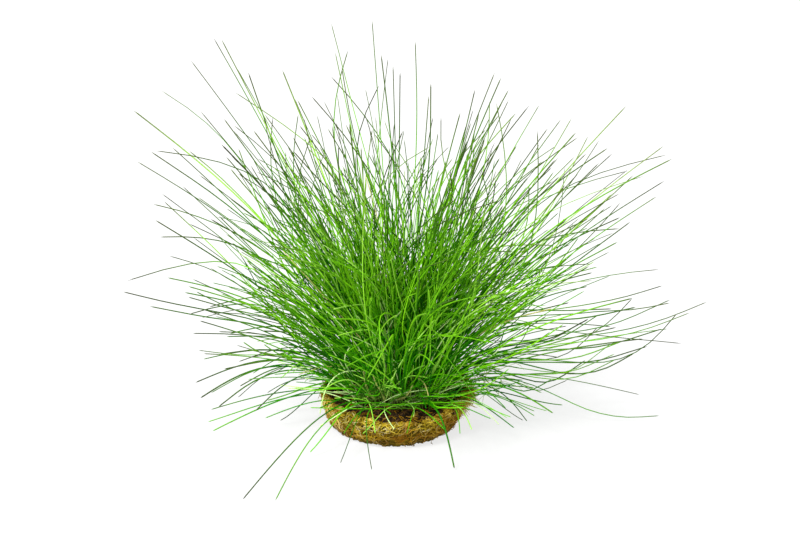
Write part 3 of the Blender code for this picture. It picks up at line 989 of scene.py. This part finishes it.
def laid_fibre(rng, surface, start, slant, length, lift):
    """A fibre that lies on a surface from a start, at a slant to the level, wandering as it goes."""
    step = length / (FIBRE_POINTS - 1)
    place, normal = surface.find_nearest(Vector(start))[:2]
    path = []
    for _ in range(FIBRE_POINTS):
        path.append(np.array(place + normal * lift))
        level = Vector((0, 0, 1)).cross(normal)
        level = level.normalized() if level.length > FLATTEST else Vector((1, 0, 0))
        onward = level * cos(slant) + normal.cross(level) * sin(slant)
        place, normal = surface.find_nearest(place + onward * step)[:2]
        slant += rng.normal() * WANDER
    path = np.array(path)
    path[:, 2] = np.maximum(path[:, 2], LOWEST_FIBRE)
    return path + rng.normal(size=path.shape) * JITTER


def fibre(rng, path, tone):
    radius = rng.uniform(*FIBRE_RADII)
    radii = radius * np.interp(FIBRE_SHARES[:, 0], FIBRE_TAPER_SHARES, FIBRE_TAPER)
    return Strand(path, radii, np.clip(tone, 0, 1), 0.0, 0.0)


def laid(rng, surface, kind, start, slant, lighter=0.0):
    """One of a kind of fibres that lie on a surface."""
    path = laid_fibre(rng, surface, start, slant, rng.uniform(*kind.lengths), rng.uniform(*kind.lifts))
    return fibre(rng, path, rng.normal(kind.tone + lighter, kind.spread))


def either_way(rng, spread):
    """A slant near the level, to the one side or the other."""
    return rng.normal() * spread + (pi if rng.random() < 0.5 else 0)


def mat_fibres(body, peat, material):
    """The fibres felted round the wall, over the rim and down to the peat, and a few loose ends."""
    rng = seeded(1001)
    surface = surface_of(body)
    inside = surface_of(body, peat)
    strands = []
    for _ in range(INNER_FIBRES.count):
        start = on_ring(rng.uniform(0, tau), rng.uniform(*INNER_RADII), RIM_HEIGHT)
        strands.append(laid(rng, inside, INNER_FIBRES, start, rng.uniform(0, tau)))
    # The left flank's pale fibres: partly their own pale tan, partly painted light
    for _ in range(FLANK_FIBRES.count):
        side = radians(rng.uniform(*FLANK_SIDES))
        start = on_ring(side, WALL_RADIUS, rng.uniform(*FLANK_HEIGHTS))
        slant = rng.uniform(*FLANK_SLANTS) * rng.choice((-1, 1))
        strands.append(laid(rng, surface, FLANK_FIBRES, start, slant))
    for _ in range(WALL_FIBRES.count):
        start = on_ring(rng.uniform(0, tau), WALL_RADIUS, rng.uniform(*WALL_HEIGHTS))
        slant = either_way(rng, WALL_SLANT)
        strands.append(laid(rng, surface, WALL_FIBRES, start, slant, WALL_LIGHTENING * start[2]))
    for _ in range(RIM_FIBRES.count):
        start = on_ring(rng.uniform(0, tau), RIM_RADIUS + rng.normal() * RIM_SPREAD, RIM_HEIGHT)
        strands.append(laid(rng, surface, RIM_FIBRES, start, either_way(rng, RIM_SLANT)))
    kind = LOOSE_FIBRES
    for _ in range(kind.count):
        angle = rng.uniform(0, tau)
        start = on_ring(angle, WALL_RADIUS, rng.uniform(*LOOSE_HEIGHTS))
        slant = rng.normal() * LOOSE_SLANT
        path = laid_fibre(rng, surface, start, slant, rng.uniform(*kind.lengths), LOOSE_START)
        away = unit(on_ring(angle, 1, rng.normal() * LOOSE_RISE))
        path += FIBRE_SHARES**2 * rng.uniform(*kind.lifts) * away
        path[:, 2] = np.maximum(path[:, 2], LOWEST_FIBRE)
        strands.append(fibre(rng, path, rng.normal(kind.tone, kind.spread)))
    kind = STANDING_FIBRES
    for _ in range(kind.count):
        side = radians(rng.uniform(*STANDING_SIDES))
        leaning = np.array((rng.normal() * STANDING_LEAN, rng.normal() * STANDING_LEAN, 1.0))
        rise = leaning * rng.uniform(*kind.lengths)
        path = on_ring(side, RIM_RADIUS, STANDING_FOOT) + FIBRE_SHARES * rise
        path = path + np.cumsum(rng.normal(size=path.shape) * STANDING_WANDER, axis=0)
        strands.append(fibre(rng, path, rng.normal(kind.tone, kind.spread)))
    piece = strands_object("mat_fibres", strands, FIBRE_SIDES, MAT_COLUMNS, material)


def short_strand(rng, start, angle, lengths):
    """A thin strand that sets out to one side, a little upwards, and wanders."""
    heading = on_ring(angle, 1, rng.uniform(*SHORT_RISES)) + rng.normal(size=3) * SHORT_SPREAD
    heading = unit(heading)
    step = rng.uniform(*lengths) / (FIBRE_POINTS - 1)
    path = [np.array(start, float)]
    for _ in range(FIBRE_POINTS - 1):
        heading = unit(heading + rng.normal(size=3) * SHORT_TURN)
        path.append(path[-1] + heading * step)
    path = smooth_path(np.array(path), FIBRE_POINTS)
    path[:, 2] = np.maximum(path[:, 2], SHORT_LOWEST)
    radii = rng.uniform(*SHORT_RADII) * np.linspace(*SHORT_TAPER, FIBRE_POINTS)
    tone, dry, age = rng.uniform(*SHORT_TONES), rng.uniform(*SHORT_DRYNESS), SHORT_AGE * rng.random()
    return Strand(path, radii, tone, dry, age)


def rim_moss(material):
    """Short yellowish mossy strands over the right of the rim."""
    rng = seeded(1004)
    strands = []
    for _ in range(MOSS_STRANDS):
        angle = radians(rng.uniform(*MOSS_SIDES))
        radius = RIM_RADIUS + rng.uniform(*MOSS_INWARD)
        start = on_ring(angle, radius, rng.uniform(*MOSS_HEIGHTS))
        strands.append(short_strand(rng, start, angle, MOSS_LENGTHS))
    strands_object("rim_moss", strands, FIBRE_SIDES, MOSS_COLUMNS, material)


def pale_knot(material):
    """A loose knot of pale dead strands to the right of the rim."""
    rng = seeded(1005)
    strands = []
    for _ in range(KNOT_STRANDS):
        start = np.array(KNOT) + rng.normal(size=3) * KNOT_SPREAD
        strands.append(short_strand(rng, start, radians(rng.uniform(*MOSS_SIDES)), KNOT_LENGTHS))
    strands_object("pale_knot", strands, FIBRE_SIDES, KNOT_STRANDS, material)


def peat_height(x, y):
    """The peat's surface: a low dome with clods."""
    share = hypot(x, y) / PEAT_RADIUS
    clods = layered_noise(Vector((x, y, PEAT_NOISE_LEVEL)), PEAT_CLODS)
    return float(np.interp(share, PEAT_DOME_SHARES, PEAT_DOME)) + clods


def peat_body(material):
    """A lumpy disc, closed below."""
    points, faces = [], []
    for ring in range(1, PEAT_RINGS + 1):
        for spoke in range(PEAT_SPOKES):
            angle = tau * spoke / PEAT_SPOKES
            x, y, _ = on_ring(angle, PEAT_RADIUS * ring / PEAT_RINGS, 0)
            points.append((x, y, peat_height(x, y)))
    for spoke in range(PEAT_SPOKES):
        x, y, z = points[(PEAT_RINGS - 1) * PEAT_SPOKES + spoke]
        points.append((x * PEAT_NARROWING, y * PEAT_NARROWING, z - PEAT_DEPTH))
    for ring in range(PEAT_RINGS):
        for spoke in range(PEAT_SPOKES):
            here, beside = ring * PEAT_SPOKES + spoke, ring * PEAT_SPOKES + (spoke + 1) % PEAT_SPOKES
            faces.append((here, here + PEAT_SPOKES, beside + PEAT_SPOKES, beside))
    middle, under = len(points), len(points) + 1
    points.append((0, 0, peat_height(0, 0)))
    points.append((0, 0, PEAT_DOME[-1] - PEAT_DEPTH))
    last = PEAT_RINGS * PEAT_SPOKES
    for spoke in range(PEAT_SPOKES):
        beside = (spoke + 1) % PEAT_SPOKES
        faces.append((middle, spoke, beside))
        faces.append((under, last + beside, last + spoke))
    piece = placed("peat_surface", meshed("peat_surface", points, faces), material)
    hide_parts("peat_fill")
    return piece


def ball(rounds):
    """A ball's points and faces, from an octahedron whose edges are halved a few times."""
    corners = ((1, 0, 0), (0, 1, 0), (-1, 0, 0), (0, -1, 0), (0, 0, 1), (0, 0, -1))
    points = [np.array(corner, float) for corner in corners]
    faces = [(k, (k + 1) % 4, 4) for k in range(4)] + [((k + 1) % 4, k, 5) for k in range(4)]
    for _ in range(rounds):
        halves, finer = {}, []
        for face in faces:
            middles = []
            for a, b in zip(face, face[1:] + face[:1]):
                key = (min(a, b), max(a, b))
                if key not in halves:
                    halves[key] = len(points)
                    points.append(unit(points[a] + points[b]))
                middles.append(halves[key])
            finer += [(face[k], middles[k], middles[k - 1]) for k in range(3)] + [tuple(middles)]
        faces = finer
    return np.array(points), np.array(faces)


def on_peat(rng, margin):
    """A random place on the peat, that far or further inside its edge."""
    angle, reach = rng.uniform(0, tau), (PEAT_RADIUS - margin) * sqrt(rng.random())
    return on_ring(angle, reach, 0)[:2]


def peat_crumbs(material):
    """Crumbs of peat lying on the surface."""
    rng = seeded(1002)
    ball_points, ball_faces = ball(CRUMB_ROUNDS)
    points, faces = [], []
    for _ in range(CRUMBS):
        x, y = on_peat(rng, CRUMB_MARGIN)
        stretch = rng.uniform(*CRUMB_RADII) * rng.uniform(*CRUMB_STRETCH, 3)
        grain = [noise.noise(Vector(p) * CRUMB_GRAIN + Vector((x, y, 0))) for p in ball_points]
        dents = 1 + CRUMB_DENTS * np.array(grain)
        spin = sideways(rng, np.array((0.0, 0.0, 1.0)))
        lump = turned(ball_points * dents[:, None] * stretch, spin, rng.uniform(0, pi))
        faces.extend((ball_faces + len(points)).tolist())
        points.extend(lump + (x, y, peat_height(x, y) + CRUMB_LIFT * stretch[2]))
    mesh = meshed("peat_crumbs", points, faces)
    placed("peat_crumbs", mesh, material)


def peat_rootlets(material):
    """Fine roots and fibres lying on the peat."""
    rng = seeded(1003)
    strands = []
    for _ in range(ROOTLETS):
        place = on_peat(rng, ROOTLET_MARGIN)
        heading, step = rng.uniform(0, tau), rng.uniform(*ROOTLET_LENGTHS) / FIBRE_POINTS
        path = []
        for k in range(FIBRE_POINTS):
            hump = rng.uniform(0, ROOTLET_HUMP) * sin(pi * k / (FIBRE_POINTS - 1))
            path.append((*place, peat_height(*place) + (ROOTLET_LIFT + hump)))
            heading += rng.normal() * ROOTLET_TURN
            place = place + step * np.array((cos(heading), sin(heading)))
            place *= min(1, (PEAT_RADIUS - ROOTLET_EDGE) / np.hypot(*place))
        strands.append(fibre(rng, smooth_path(np.array(path), FIBRE_POINTS), rng.normal(*ROOTLET_TONES)))
    strands_object("peat_rootlets", strands, FIBRE_SIDES, ROOTLET_COLUMNS, material)


def floor():
    """A wide pale floor that meets the white surroundings."""
    corners = [(x * FLOOR_HALF, y * FLOOR_HALF, 0) for x, y in ((-1, -1), (1, -1), (1, 1), (-1, 1))]
    mesh = meshed("floor", corners, [(0, 1, 2, 3)])
    mesh.materials.append(floor_material())
    piece = added("floor", mesh)


def surroundings():
    """White all around, and a broad, even light from the front left, as a big soft box gives."""
    world = bpy.data.worlds.new("white_room")
    world.use_nodes = True
    world.node_tree.nodes["Background"].inputs["Color"].default_value = (1, 1, 1, 1)
    bpy.context.scene.world = world
    light = bpy.data.lights.new("key_light", "SUN")
    light.energy = KEY_STRENGTH
    light.angle = radians(KEY_BREADTH)
    lamp = added("key_light", light)
    lamp.rotation_euler = (-Vector(KEY_SIDE)).to_track_quat("-Z", "Y").to_euler()


def camera():
    data = bpy.data.cameras.new("camera")
    data.lens = CAMERA_LENS
    data.clip_end = SIGHT
    view = added("camera", data)
    view.location = Vector(CAMERA_PLACE) * MM
    view.rotation_euler = Vector(CAMERA_AIM).to_track_quat("-Z", "Y").to_euler()
    bpy.context.scene.camera = view


def dress():
    fibre_look = fibre_material()
    peat_look = peat_material()
    blade_look = blade_material()
    plantlets(blade_look)
    rim_moss(fibre_look)
    pale_knot(blade_look)
    mat_fibres(mat_body(felt_material()), peat_body(peat_look), fibre_look)
    peat_crumbs(peat_look)
    peat_rootlets(fibre_look)
    floor()
    surroundings()
    camera()
    bpy.context.scene.view_settings.view_transform = "Standard"


dress()
